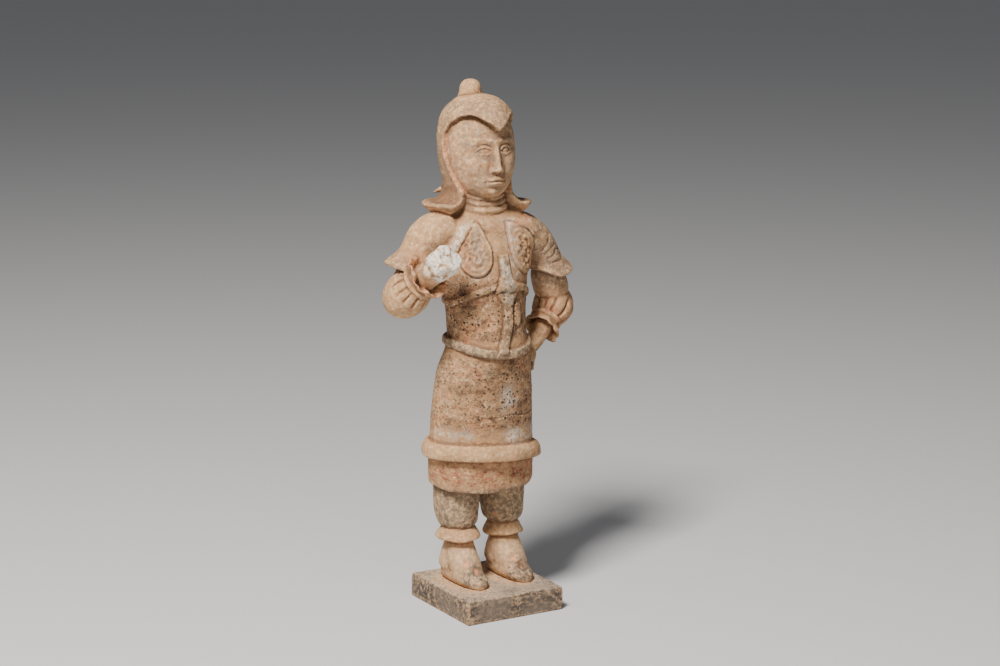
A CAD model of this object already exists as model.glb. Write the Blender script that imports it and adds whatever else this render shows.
# %% [markdown]
# A standing guardian of fired clay, about three quarters of a metre high. The real one was pressed and
# built up by hand in soft clay, fired once, and left unglazed, so every edge is soft and nothing on it is
# a separate part except the slab it stands on. We build it the way a potter would: plain forms made from
# rings that are pushed up, resized and turned, relief pressed into each form while it is still alone, and
# then all of them joined into one skin of clay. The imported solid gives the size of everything.

# %% Load the frame
import math

import bpy
import numpy as np
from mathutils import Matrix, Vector, noise


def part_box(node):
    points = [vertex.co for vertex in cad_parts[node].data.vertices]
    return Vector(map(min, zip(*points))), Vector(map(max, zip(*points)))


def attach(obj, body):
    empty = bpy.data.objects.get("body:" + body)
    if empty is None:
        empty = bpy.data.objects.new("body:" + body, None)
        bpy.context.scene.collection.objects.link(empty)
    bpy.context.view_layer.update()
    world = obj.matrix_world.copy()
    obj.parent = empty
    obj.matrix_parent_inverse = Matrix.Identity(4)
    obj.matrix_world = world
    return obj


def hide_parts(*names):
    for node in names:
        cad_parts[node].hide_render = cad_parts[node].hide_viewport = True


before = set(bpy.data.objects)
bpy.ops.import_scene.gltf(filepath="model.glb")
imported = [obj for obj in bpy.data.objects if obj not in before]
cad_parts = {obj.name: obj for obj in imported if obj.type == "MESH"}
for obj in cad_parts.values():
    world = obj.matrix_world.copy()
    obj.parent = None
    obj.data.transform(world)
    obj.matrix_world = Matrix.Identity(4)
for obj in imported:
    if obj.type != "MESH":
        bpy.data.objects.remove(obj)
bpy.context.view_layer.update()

figure_low, figure_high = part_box("figure")
plinth_low, plinth_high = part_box("plinth")

# %% Units
# Places on the figure are counted in units of a 712th of its height, about a millimetre: x to its left,
# y to its back and z up from its soles.
UNIT = (figure_high[2] - figure_low[2]) / 712
SOLE = figure_low[2]
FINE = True


def at(x, y, z):
    """A place on the figure, in metres."""
    return Vector((x * UNIT, y * UNIT, SOLE + z * UNIT))


print("one unit is", round(UNIT * 1000, 4), "mm")

# %% [markdown]
# The camera comes first, so that each piece can be looked at as it is made. The picture was taken from
# about three metres away with a long lens, from the figure's right front and a little above its head.
# A long lens keeps the head and the feet at nearly the same scale.

# %% Camera
CAMERA_TURN = math.radians(-29.89)
CAMERA_DISTANCE = 3.3015
CAMERA_HEIGHT = 1.0571
CAMERA_AIM = math.radians(30.23)
CAMERA_DROP = math.radians(11.36)
LENS_MM = 86.4


def add_camera():
    """A camera at the photograph's viewing angle."""
    lens = bpy.data.cameras.new("camera")
    lens.sensor_width = 36
    lens.lens = LENS_MM
    camera = bpy.data.objects.new("camera", lens)
    bpy.context.scene.collection.objects.link(camera)
    camera.location = (
        math.sin(CAMERA_TURN) * CAMERA_DISTANCE,
        -math.cos(CAMERA_TURN) * CAMERA_DISTANCE,
        CAMERA_HEIGHT,
    )
    camera.rotation_euler = (math.pi / 2 - CAMERA_DROP, 0, -CAMERA_AIM)
    bpy.context.scene.camera = camera
    return camera


camera = add_camera()
print("the camera stands at", [round(v, 3) for v in camera.location])

# %% [markdown]
# Nearly every part of this figure is a tube that swells and narrows. By hand that is one ring of points,
# filled, then extruded again and again, with each new ring resized about its own middle. A subdivision
# surface then rounds the steps between the rings. Two helpers do this: one for level or upright rings that
# may be oval, and one for a round limb whose rings turn to follow its path.

# %% Helpers for building up forms
def add_shape(name, add, **settings):
    """A new object from one of the plain shapes."""
    bpy.ops.object.select_all(action="DESELECT")
    add(**settings)
    bpy.context.object.name = name
    return bpy.context.object


def apply_to(body, kind, **settings):
    """Lays a modifier on a body and applies it."""
    bpy.context.view_layer.objects.active = body
    modifier = body.modifiers.new(kind, kind)
    for setting, value in settings.items():
        setattr(modifier, setting, value)
    bpy.ops.object.modifier_apply(modifier=modifier.name)


def start_form(name, middle, sides):
    """A filled ring of radius one in edit mode, ready to be shaped."""
    ring = {"vertices": sides, "radius": 1, "fill_type": "NGON", "location": middle}
    form = add_shape(name, bpy.ops.mesh.primitive_circle_add, **ring)
    bpy.ops.object.mode_set(mode="EDIT")
    bpy.ops.mesh.select_all(action="SELECT")
    return form


def end_form(form, smoothness):
    """Leaves edit mode, rounds the form and puts its place into its mesh."""
    bpy.ops.mesh.select_all(action="SELECT")
    bpy.ops.mesh.normals_make_consistent(inside=False)
    bpy.ops.object.mode_set(mode="OBJECT")
    apply_to(form, "SUBSURF", levels=smoothness, render_levels=smoothness)
    bpy.ops.object.transform_apply(location=True, rotation=True, scale=True)
    return form


def ring_form(name, sections, sides=32, smoothness=2, upright=False):
    """A form through oval rings, each with a middle, a half width and a half depth, level or upright."""
    middle, wide, deep = sections[0]
    form = start_form(name, at(*middle), sides)
    if upright:
        bpy.ops.transform.rotate(value=math.pi / 2, orient_axis="X", center_override=at(*middle))
    across = (1, 0, 1) if upright else (1, 1, 0)
    before = (1 / UNIT, 1 / UNIT)
    last = at(*middle)
    for i, (middle, wide, deep) in enumerate(sections):
        if i:
            bpy.ops.mesh.extrude_region_move(TRANSFORM_OT_translate={"value": at(*middle) - last})
        last = at(*middle)
        grow = (wide / before[0], deep / before[1])
        scale = (grow[0], 1, grow[1]) if across[2] else (grow[0], grow[1], 1)
        bpy.ops.transform.resize(value=scale, center_override=last)
        before = (wide, deep)
    return end_form(form, smoothness)


def turn_ring(axis, angle, middle):
    """Turns the selected ring about its middle. With no window the operator turns the other way."""
    bpy.ops.transform.rotate(value=-angle, orient_axis=axis, center_override=middle)


def limb_form(name, stations, sides=20, smoothness=2, ways=None):
    """A round limb through places with radii, each ring square to the path or to the way given for it."""
    places = [at(*place) for place, _ in stations]
    form = start_form(name, places[0], sides)
    heading, tilt, radius = 0, 0, 1
    for i, (_, wide) in enumerate(stations):
        if i:
            bpy.ops.mesh.extrude_region_move(TRANSFORM_OT_translate={"value": places[i] - places[i - 1]})
        bpy.ops.transform.resize(value=(wide * UNIT / radius,) * 3, center_override=places[i])
        radius = wide * UNIT
        way = Vector(ways[i]) if ways else places[min(i + 1, len(places) - 1)] - places[max(i - 1, 0)]
        way.normalize()
        new_heading = math.atan2(way.y, way.x)
        new_tilt = math.acos(max(-1, min(1, way.z)))
        turn_ring("Z", -heading, places[i])
        turn_ring("Y", new_tilt - tilt, places[i])
        turn_ring("Z", new_heading, places[i])
        heading, tilt = new_heading, new_tilt
    return end_form(form, smoothness)


def join_forms(parts):
    """Joins forms into one object, still as separate shells."""
    bpy.ops.object.select_all(action="DESELECT")
    for part in parts:
        part.select_set(True)
    bpy.context.view_layer.objects.active = parts[0]
    bpy.ops.object.join()
    return bpy.context.object


# %% Helpers for pressing relief
def points_of(form):
    """The form's points in figure units, one row each."""
    count = len(form.data.vertices)
    flat = np.empty(count * 3)
    form.data.vertices.foreach_get("co", flat)
    return (flat.reshape(count, 3) - (0, 0, SOLE)) / UNIT


def normals_of(form):
    """The form's outward directions, one row each."""
    count = len(form.data.vertices)
    flat = np.empty(count * 3)
    form.data.vertex_normals.foreach_get("vector", flat)
    return flat.reshape(count, 3)


def set_points(form, points):
    """Moves the form's points to rows in figure units."""
    form.data.vertices.foreach_set("co", (points * UNIT + (0, 0, SOLE)).ravel())
    form.data.update()


def press(form, amount):
    """Raises or sinks each point along its outward direction, by an amount in units."""
    set_points(form, points_of(form) + normals_of(form) * np.asarray(amount)[:, None])


def step(value, low, high):
    """A soft step from nought to one."""
    t = np.clip((value - low) / (high - low), 0, 1)
    return t * t * (3 - 2 * t)


def hill(value, width):
    """A soft hill of height one, about as wide as width on each side."""
    return np.exp(-((value / width) ** 2))


def grain(points, size, seed, detail=3):
    """Smooth random clay, from about minus one to one, with lumps of a size in units."""
    shift = Vector((seed * 17.3, seed * 5.1, seed * 9.7))
    return np.array([noise.fractal(Vector(p) / size + shift, 0.9, 2.1, detail) for p in points])


print("helpers are ready")

# %% [markdown]
# The trunk runs from the hem of the skirt up to the neck in one form. Its belly stands forward and its
# head end leans back, so each ring has a middle from front to back of its own. The belt, the band over it
# and the rolls at hem and neck were coils of clay laid round the trunk. Each is a ring of clay here too,
# bent to the trunk's outline, because raising the skin itself would not give a coil its full round edge.

# %% Trunk
TRUNK = (
    (141, 16, 70, 52), (142, 16, 77, 58), (147, 16, 79, 59.5), (172, 16, 79, 59.5),
    (215, 14, 77.8, 58.8), (250, 12.5, 75.8, 58.3), (285, 9, 72.8, 57.8), (312, 5, 69.3, 57.8),
    (330, 1, 62, 57.6), (345, -2, 57.3, 57.5), (362, -1, 56.3, 55.5), (388, 1, 57, 52.5),
    (415, 2.5, 59.5, 51), (442, 5, 65, 50.5), (470, 9, 73, 50), (496, 14, 76.5, 46.5),
    (512, 19, 67, 40.5), (526, 22, 48, 36), (540, 25, 34, 32), (560, 27, 31, 31),
    (572, 27, 30, 30),
)
FRONT_TURN = math.radians(4)
ARC_SHARE = 0.93
HEM_ROLL = (190, 3, -6)
BELT = (351, -13, 0)
BELLY_BAND = (408, 24, 0)
COLLAR_ROLLS = ((541.5, -8, 0), (550, -8, 0), (557.5, -8, 0))


def round_trunk(points):
    """Each point's angle round the trunk, nought in front and positive to the figure's left."""
    rows = np.array(TRUNK)
    middle, wide, deep = (np.interp(points[:, 2], rows[:, 0], rows[:, k]) for k in (1, 2, 3))
    return np.arctan2(points[:, 0] / wide, (middle - points[:, 1]) / deep), wide


def from_band(points, angle, band):
    """Each point's height above a band's middle. A band has a height, a rise in front and a lean."""
    height, rise, lean = band
    front = np.maximum(0, np.cos(angle - FRONT_TURN)) ** 1.5
    return points[:, 2] - height - rise * front - lean * np.sin(angle)


def build_trunk():
    """The trunk, dense enough to take its bands."""
    sections = [((0, middle, height), wide, deep) for height, middle, wide, deep in TRUNK]
    trunk = ring_form("trunk", sections, sides=40, smoothness=4 if FINE else 3)
    points = points_of(trunk)
    angle, _ = round_trunk(points)
    drop = -5 * np.maximum(0, np.cos(angle - FRONT_TURN)) ** 1.5 * step(-points[:, 2], -176, -148)
    uneven = (1.2 * np.sin(angle * 3 + 1) + 0.8 * np.sin(angle * 7)) * step(-points[:, 2], -158, -144)
    points[:, 2] += drop + uneven
    set_points(trunk, points)
    return trunk


trunk = build_trunk()
print("trunk:", len(trunk.data.vertices), "points")

# %% Cords and rolls round the trunk
def trunk_at(height):
    """The trunk's middle, half width and half depth at a height."""
    rows = np.array(TRUNK)
    return (np.interp(height, rows[:, 0], rows[:, k]) for k in (1, 2, 3))


def cord_round(name, band, tall, deep, sunk, hang=0, above=1, square=1):
    """A roll of clay laid round the trunk: a torus bent to the trunk's outline at each angle."""
    ring = {"major_segments": 260, "minor_segments": 20, "major_radius": 1, "minor_radius": 0.25}
    cord = add_shape(name, bpy.ops.mesh.primitive_torus_add, generate_uvs=False, **ring)
    flat = np.empty(len(cord.data.vertices) * 3)
    cord.data.vertices.foreach_get("co", flat)
    x, y, z = flat.reshape(-1, 3).T
    turn = np.arctan2(x, -y)
    around = np.arctan2(z, np.hypot(x, y) - 1)
    height, rise, lean = band
    front = np.maximum(0, np.cos(turn - FRONT_TURN)) ** 1.5
    level = height + rise * front + lean * np.sin(turn)
    middle, wide, far = trunk_at(level)
    out_x, out_y = np.sin(turn) / wide, -np.cos(turn) / far
    length = np.hypot(out_x, out_y)
    swell = 1 + 0.05 * np.sin(turn * 5 + height) + 0.04 * np.sin(turn * 11)
    away = np.sign(np.cos(around)) * np.abs(np.cos(around)) ** square
    lift = np.sign(np.sin(around)) * np.abs(np.sin(around)) ** square
    out = deep * away * swell - sunk
    points = np.empty((len(x), 3))
    points[:, 0] = wide * np.sin(turn) + out * out_x / length
    points[:, 1] = middle - far * np.cos(turn) + out * out_y / length
    points[:, 2] = level + tall * lift * np.where(lift > 0, above, 1) - hang * np.maximum(0, away) ** 2
    set_points(cord, points)
    return cord


press(trunk, grain(points_of(trunk), 42, 3, 2) * 0.7)
rolls = [
    cord_round("hem_roll", HEM_ROLL, 7.6, 12.4, 1.5, 5.4, above=1.75, square=0.75),
    cord_round("belt", BELT, 6.6, 6.6, 1.4, square=0.5),
    cord_round("belly_band", BELLY_BAND, 5.4, 5.4, 1.4, 0.4, square=0.7),
    cord_round("lower_neck_roll", COLLAR_ROLLS[0], 5, 8, 0.4),
    cord_round("neck_roll", COLLAR_ROLLS[1], 4.2, 8.6, 0.4),
    cord_round("upper_neck_roll", COLLAR_ROLLS[2], 3.8, 8, 0.4),
]
print("rolls laid round the trunk:", len(rolls))

# %% [markdown]
# The cloth over the shoulders makes one even slope from the neck to the capes. Without it a deep crease
# would show between the trunk and each cape, so a wide flat form fills that place.

# %% Shoulder slope
YOKE = (
    (549, 24, 28, 28), (540, 24, 35, 32), (533, 22, 48, 34.5), (526, 20, 64, 37),
    (519, 18, 79, 39.5), (510, 16, 91, 41), (498, 14, 98, 42.5), (486, 12.5, 95, 43),
    (474, 11, 84, 42.5), (462, 9, 66, 42),
)
yoke = ring_form("yoke", [((0, mid, z), wide, deep) for z, mid, wide, deep in YOKE], sides=40, smoothness=3)
print("shoulder slope:", len(yoke.data.vertices), "points")

# %% [markdown]
# On the chest, a strap runs down the middle and spreads into a pointed knot where it meets the belly band.
# To each side of it hangs a drop-shaped plate, and the capes' front edges cross the tops of the plates.
# All of these were strips and pads of clay pressed on. They are raised here out of the finished skin, by
# height and by angle round the trunk, because a strip would have to be bent to every swelling under it.
# The plates carry a worn scroll: two broken curls and lumps read as old relief and copy no one design.

# %% Strap, knot, plates and cape edges
STRAP_WIDTH = 13.5
STRAP_PATH = (
    (336, -11), (353, -6.6), (376, 1), (394, 2.5), (409, 3.2), (432, 2.6), (450, 2), (480, 0.5),
)
KNOT_MIDDLE = 424
PLATES = ((math.radians(-30), 478, -0.05, 11), (math.radians(37.5), 475.5, 0.33, 23))
PLATE_SIZE = (25, 31, 9.5)
CAPE_LINES = (
    ((-29, 521), (-42, 505.5), (-52.5, 491.7), (-61, 474)),
    ((38, 514.5), (61, 500.5), (72, 488.5), (87, 467), (98, 452)),
)


def from_drop(across, up, size):
    """How far inside a drop's outline each point lies: nought on the edge, one in the middle."""
    wide, tall, point = size
    turn = np.arctan2(across / wide, up / tall)
    reach = 1 + point / tall * np.maximum(0, np.cos(turn)) ** 6
    return 1 - np.hypot(across / wide, up / tall) / reach


def plate_relief(points, across, up, seed):
    """The raised plate: a rim, a groove inside it, and a worn scroll."""
    inside = from_drop(across, up, PLATE_SIZE) * PLATE_SIZE[0]
    plate = 2.9 * step(inside, -0.6, 1) - 1.5 * hill(inside + 1.6, 1.2) - 0.6 * hill(inside - 4.4, 1.3)
    scroll = np.zeros(len(across))
    for middle, hand in ((-9, 1), (12, -1)):
        curl = np.hypot(across, up - middle)
        turn = np.arctan2(across, up - middle)
        wave = np.cos(curl * 0.66 + turn * hand + grain(points, 13, seed, 2) * 4)
        scroll += wave * hill(curl, 15)
    lumps = grain(points, 5, seed + 1, 3)
    return plate + step(inside, 4, 6.5) * (1.1 * scroll + 1.1 * lumps)


def nearest_on(x, z, line):
    """Each point's distance to a line of straight pieces, and its side of it, one or minus one."""
    nearest = np.full(len(x), 1e9)
    side = np.ones(len(x))
    for (ax, az), (bx, bz) in zip(line, line[1:]):
        length = (bx - ax) ** 2 + (bz - az) ** 2
        along = np.clip(((x - ax) * (bx - ax) + (z - az) * (bz - az)) / length, 0, 1)
        far = np.hypot(x - ax - along * (bx - ax), z - az - along * (bz - az))
        cross = (bx - ax) * (z - az) - (bz - az) * (x - ax)
        side = np.where(far < nearest, np.sign(cross), side)
        nearest = np.minimum(far, nearest)
    return nearest, side


def beside_line(x, z, line):
    """How far each point lies from a line on the chest, over nought on the arm's side of it."""
    nearest, side = nearest_on(x, z, line)
    return nearest * side * (1 if line[0][0] > 0 else -1)


def beside_strap(angle, wide, height):
    """How far each point lies to the left of the strap's middle."""
    path = np.array(STRAP_PATH)
    return (angle - FRONT_TURN) * wide * ARC_SHARE - np.interp(height, path[:, 0], path[:, 1])


def press_chest(body):
    """Presses the strap, its knot, the two breast plates and the capes' front edges into the skin."""
    points = points_of(body)
    angle, wide = round_trunk(points)
    middle, _, deep = trunk_at(points[:, 2])
    far = np.hypot(points[:, 0] / wide, (middle - points[:, 1]) / deep)
    height = points[:, 2]
    chest = (np.cos(angle) > 0.2) & (far < 1.35) & (np.abs(points[:, 0]) < 95)
    chest &= (height > 320) & (height < 545)
    chest &= ~((far > 1.17) & (height < 492))
    angle, wide, height, near = angle[chest], wide[chest], height[chest], points[chest]
    across = beside_strap(angle, wide, height)
    from_knot = height - KNOT_MIDDLE
    knot = np.maximum(0, 1 - np.where(from_knot < 0, -from_knot / 19, from_knot / 27))
    inside = STRAP_WIDTH / 2 + 11.5 * knot**1.2 - np.abs(across)
    tab = 1 - np.hypot((across - 17) / 7, (height - 392) / 19)
    shoulder = step(height, 338, 342) * step(-height, -476, -472.5)
    lift = shoulder * (3.2 * step(inside, -0.6, 1.2) - 1.5 * hill(inside + 1.3, 1.2))
    lift += 1.6 * step(tab, 0, 0.16) - 0.8 * hill(tab + 0.08, 0.09)
    for turn, level, lean, seed in PLATES:
        plate_across = (angle - turn) * wide * ARC_SHARE + lean * (height - level)
        close = (np.abs(plate_across) < 34) & (np.abs(height - level) < 52)
        relief = np.zeros(len(near))
        relief[close] = plate_relief(near[close], plate_across[close], height[close] - level, seed)
        outward = beside_line(near[:, 0], height, CAPE_LINES[0 if turn < 0 else 1])
        lift += relief * (inside < 1) * step(-outward, -1, 1)
    for line in CAPE_LINES:
        outward = beside_line(near[:, 0], height, line)
        on_line = step(-height, -524, -510) * step(height, 450, 466)
        same = near[:, 0] * line[0][0] > 0
        ridge = 3.4 * step(outward, -0.8, 0.8) * step(-outward, -26, -6) - 1.4 * hill(outward + 1.3, 1.2)
        lift += same * on_line * ridge
    lift *= 1 - step(far[chest], 1.06, 1.16) * step(-height, -512, -494)
    amount = np.zeros(len(points))
    amount[chest] = lift
    press(body, amount)


print("chest relief is ready to press")

# %% [markdown]
# Under each knee-length leg of the trousers the cloth is tied in, and a flared ring of clay stands out
# round the ankle like a small collar. The soft shoes were flattened on the wet slab, so their soles are
# cut level and their sides tuck in just above it.

# %% Legs, ankle rings and shoes
STANCE = 37
LEG = (
    (162, 21, 33), (150, 21, 33.6), (119, 21, 33.4), (100, 20, 32), (91, 18.8, 30.4),
    (85, 18, 27.6), (82, 17.6, 23.5), (78, 17, 20.5), (58, 16, 20.5), (40, 14, 21), (22, 12, 22),
)
ANKLE_RINGS = {
    "right": (
        (81, 17), (80.5, 23), (78, 26), (73, 29), (68.5, 31.8), (66.5, 33), (65, 33), (63.6, 31),
        (62.5, 24), (57, 17),
    ),
    "left": (
        (80, 17), (79.5, 21.5), (77, 24), (71.5, 26.5), (66.5, 28.8), (64.5, 30), (63, 30), (61.6, 28),
        (60.5, 22), (55, 17),
    ),
}
SHOE = (
    (48.5, 2, 4), (48, 7, 12), (43, 14.5, 22), (34, 17, 33), (18, 20, 39), (0, 22, 34.5),
    (-15, 21.5, 27), (-29, 19.8, 22), (-40, 15, 17), (-46.5, 8, 11.5), (-47.5, 2, 5),
)
INSTEP = (
    ((0, 18, 72), 19), ((0, 15, 58), 20.6), ((0, 10, 43), 22.4), ((0, 1, 29), 22.8),
    ((0, -13, 17), 21), ((0, -26, 9), 16),
)
HEEL = (((0, 17, 62), 18.5), ((0, 19, 45), 21.5), ((0, 22, 30), 24.5), ((0, 23, 15), 26))
FOOT_TURN = math.radians(4.5)
ANKLE_Y = 14
RING_Y = 16.5


def build_leg(name, side):
    """A trouser leg with a few soft creases above its tie."""
    sections = [((side * STANCE, middle, height), radius, radius) for height, middle, radius in LEG]
    leg = ring_form(f"{name}_leg", sections, sides=24, smoothness=3)
    points = points_of(leg)
    turn = np.arctan2(points[:, 0] - side * STANCE, ANKLE_Y - points[:, 1])
    height = points[:, 2]
    creases = np.sin(turn * 9 + side) * hill(height - 84, 7) * 0.5
    creases += np.sin(height / 6.5 + turn * 1.5) * hill(height - 112, 26) * 0.45
    press(leg, creases)
    return leg


def build_ankle_ring(name, side):
    """The flared ring over the ankle, thick at its root and thin at its lip."""
    rings = ANKLE_RINGS[name]
    sections = [((side * STANCE, RING_Y, height), radius, radius) for height, radius in rings]
    ring = ring_form(f"{name}_ankle_ring", sections, sides=24, smoothness=3)
    points = points_of(ring)
    turn = np.arctan2(points[:, 0] - side * STANCE, RING_Y - points[:, 1])
    points[:, 2] += 0.9 * np.sin(turn * 2 + side * 1.3) + 0.5 * np.sin(turn * 5)
    set_points(ring, points)
    return ring


def build_shoe(name, side):
    """A soft shoe, cut level under the sole and turned a little to the figure's left."""
    sections = [((0, y, tall * 0.40), wide, tall * 0.60) for y, wide, tall in SHOE]
    shoe = ring_form(f"{name}_shoe", sections, sides=24, smoothness=3, upright=True)
    slopes = [limb_form(f"{name}_slope", path, sides=24, smoothness=3) for path in (INSTEP, HEEL)]
    shoe = join_forms([shoe, *slopes])
    points = points_of(shoe)
    tuck = 1 - 0.16 * step(-points[:, 2], -6, 1)
    points[:, 0] *= tuck
    points[:, 2] = np.maximum(points[:, 2], 0)
    ahead = points[:, 1] - ANKLE_Y
    across = points[:, 0].copy()
    points[:, 0] = side * STANCE + across * math.cos(FOOT_TURN) - ahead * math.sin(FOOT_TURN)
    points[:, 1] = ANKLE_Y + ahead * math.cos(FOOT_TURN) + across * math.sin(FOOT_TURN)
    set_points(shoe, points)
    return shoe


forms = [trunk, yoke, *rolls]
for name, side in (("right", -1), ("left", 1)):
    forms += [build_leg(name, side), build_ankle_ring(name, side), build_shoe(name, side)]
print("legs and shoes:", len(forms) - 1, "forms")

# %% [markdown]
# Each shoulder has a short bell-shaped cape. Its rings fan round a point under the shoulder, from upright
# at the neck to nearly level at the hem, where the clay flares out to a thin lip over a hollow. The rings
# of a fan never cross, which keeps the form sound where a bent tube would fold into itself.

# %% Capes
CAPE_MIDDLE = 14
CAPES = {
    "right": (
        (-58, 459),
        (
            (100, 77, 29), (84, 77.5, 30.5), (70, 77.5, 31), (56, 77.5, 30.5), (42, 74.5, 28.5),
            (29, 71, 26.5), (20, 73, 27.5), (12, 82, 32), (8, 88.5, 35.5), (6.5, 90.5, 36.5),
        ),
    ),
    "left": (
        (58, 440),
        (
            (100, 91, 31), (86, 87, 32), (72, 82, 32), (58, 78.5, 30.5), (44, 74.5, 28.5),
            (30, 72, 27), (18, 72, 27.5), (9, 79, 31), (4, 88, 35), (2.5, 90, 36),
        ),
    ),
}
CAPE_EDGE = 5
CAPE_DROOP = {"right": 7, "left": 13}
CAPE_SCOOP = {"right": 0, "left": 15}
SCALE_TURN = 12
SCALE_WIDE = 17


def build_cape(name, side):
    """A bell over the shoulder with a flared, undercut hem that droops in front."""
    (pivot_x, pivot_z), stations = CAPES[name]
    turn, reach, radius = stations[-1]
    hem = (
        (turn - 2.6, reach - CAPE_EDGE * 0.1, radius - CAPE_EDGE * 0.1),
        (turn - 3, reach - CAPE_EDGE * 0.8, radius - CAPE_EDGE * 0.8),
        (turn + 1.5, reach - CAPE_EDGE * 1.3, radius - CAPE_EDGE * 1.2),
        (turn + 10, reach - CAPE_EDGE * 2.2, radius - CAPE_EDGE * 1.7),
    )
    rings, ways = [], []
    for turn, reach, radius in (*stations, *hem):
        out = Vector((side * math.cos(math.radians(turn)), 0, math.sin(math.radians(turn))))
        middle = Vector((pivot_x, CAPE_MIDDLE, pivot_z)) + out * (reach - radius)
        rings.append((tuple(middle), radius))
        ways.append((side * math.sin(math.radians(turn)), 0, -math.cos(math.radians(turn))))
    cape = limb_form(f"{name}_cape", rings, sides=28, smoothness=3, ways=ways)
    points = points_of(cape)
    fan = np.degrees(np.arctan2(points[:, 2] - pivot_z, side * (points[:, 0] - pivot_x)))
    forward = np.clip((CAPE_MIDDLE - points[:, 1]) / 34, 0, 1)
    at_hem = np.clip(1 - fan / 30, 0, 1.2)
    points[:, 2] -= CAPE_DROOP[name] * forward * at_hem
    points[:, 2] += CAPE_SCOOP[name] * forward * at_hem * np.clip((108 - side * points[:, 0]) / 28, 0, 1.2)
    set_points(cape, points)
    return cape


def press_scales(body):
    """Presses a worn pattern of overlapping scales into the left cape."""
    points = points_of(body)
    x, y, z = points.T
    (pivot_x, pivot_z), _ = CAPES["left"]
    fan = np.degrees(np.arctan2(z - pivot_z, x - pivot_x))
    on_cape = (x > 70) & (z > 436) & (np.hypot(x - pivot_x, z - pivot_z) > 38) & (y < 44)
    rows = np.floor(fan / SCALE_TURN)
    along = y / SCALE_WIDE + 0.5 * (rows % 2)
    across = (along - np.round(along)) * 2
    fall = fan / SCALE_TURN - rows
    edge = hill(fall - 0.14 - 0.5 * across**2, 0.14)
    worn = 0.7 + 0.5 * grain(points, 18, 9, 2)
    press(body, -1.7 * edge * on_cape * step(-fan, -70, -56) * step(fan, 8, 16) * step(x, 70, 80) * worn)


for name, side in (("right", -1), ("left", 1)):
    forms.append(build_cape(name, side))
print("capes:", [len(form.data.vertices) for form in forms[-2:]], "points")

# %% [markdown]
# The sleeves balloon out at the elbow and are gathered under a cord, and beyond the cord the cloth stands
# out in a small frill. The gathers are pleats cut with a tool, deep beside the cord and gone at the elbow.
# The right frill is broken and ragged. The right hand is lost: the forearm ends in a rough stump.

# %% Arms
RIGHT_ELBOW = Vector((-128, 5, 421))
RIGHT_END = Vector((-95, -67, 485))
LEFT_ELBOW = Vector((129, 26, 387))
LEFT_CUFF = Vector((93, 7, 352))
LEFT_HAND = Vector((67.5, -4, 328))
RIGHT_TIED, LEFT_TIED = 0.35, 0.62
RIGHT_PUFF = (
    (-0.30, 4), (-0.28, 12), (-0.20, 23), (-0.08, 29.8), (0.05, 32), (0.18, 30), (0.27, 26), (0.31, 23),
)
LEFT_PUFF = (
    (-0.48, 4), (-0.42, 13), (-0.30, 21), (-0.10, 27.5), (0.10, 29), (0.32, 27), (0.46, 24), (0.54, 20.8),
)
RIGHT_FOREARM = (
    (0.28, 17), (0.45, 17.8), (0.60, 18.6), (0.74, 20), (0.86, 21.6), (0.95, 22.3), (0.995, 21), (1, 17),
)


def build_sleeve(name, start, end, puff, tied, cord, frill, pleats, reach, ragged):
    """A balloon sleeve with pleats, its cord and its frill, as one form."""
    axis = end - start
    ahead = axis.normalized()
    knot = start + axis * tied
    radius, thickness = cord
    flare, length, wall = frill
    stations = [(start + axis * share, wide) for share, wide in puff]
    for share, rise in ((-1, 0.1), (-0.7, 0.9), (0, 1.1), (0.7, 0.9), (1, 0)):
        stations.append((knot + ahead * share * thickness, radius + rise * thickness))
    lip = thickness + length
    for past, wide in (
        (thickness + length * 0.45, radius + flare * 0.45),
        (lip, radius + flare * 1.12),
        (lip + 0.8, radius + flare),
        (lip + 0.3, radius + flare - wall * 0.8),
        (thickness + length * 0.5, radius - wall + 2),
        (thickness + 2, radius - wall - 1),
    ):
        stations.append((knot + ahead * past, wide))
    ways = [tuple(ahead)] * len(stations)
    sleeve = limb_form(name, stations, sides=32, smoothness=3, ways=ways)
    points = points_of(sleeve)
    from_knot = points - np.array(knot)
    along = from_knot @ np.array(ahead)
    side_way = np.array(ahead.cross(Vector((0, 0, 1))).normalized())
    up_way = np.cross(side_way, np.array(ahead))
    turn = np.arctan2(from_knot @ up_way, from_knot @ side_way)
    bent = turn * pleats + 0.9 * np.sin(turn * 3 + 1) + 0.5 * np.sin(along / 7)
    on_puff = step(-along, thickness * 0.9, thickness * 1.6)
    depth = on_puff * step(along, -thickness - reach, -thickness - reach * 0.45)
    pleating = -5.6 * np.maximum(0, np.cos(bent)) ** 4 * depth + 1.5 * depth
    on_frill = step(along, thickness + 1, thickness + length * 0.6)
    waves = 1.5 * np.sin(turn * 6 + 0.6) + 0.8 * np.sin(turn * 11)
    press(sleeve, pleating + on_frill * waves * 0.55)
    points = points_of(sleeve)
    torn = np.sin(turn * 2 + 0.7) + 0.7 * np.sin(turn * 5) + 0.4 * np.sin(turn * 13)
    points += np.outer(on_frill * torn * ragged, np.array(ahead))
    set_points(sleeve, points)
    return sleeve


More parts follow.
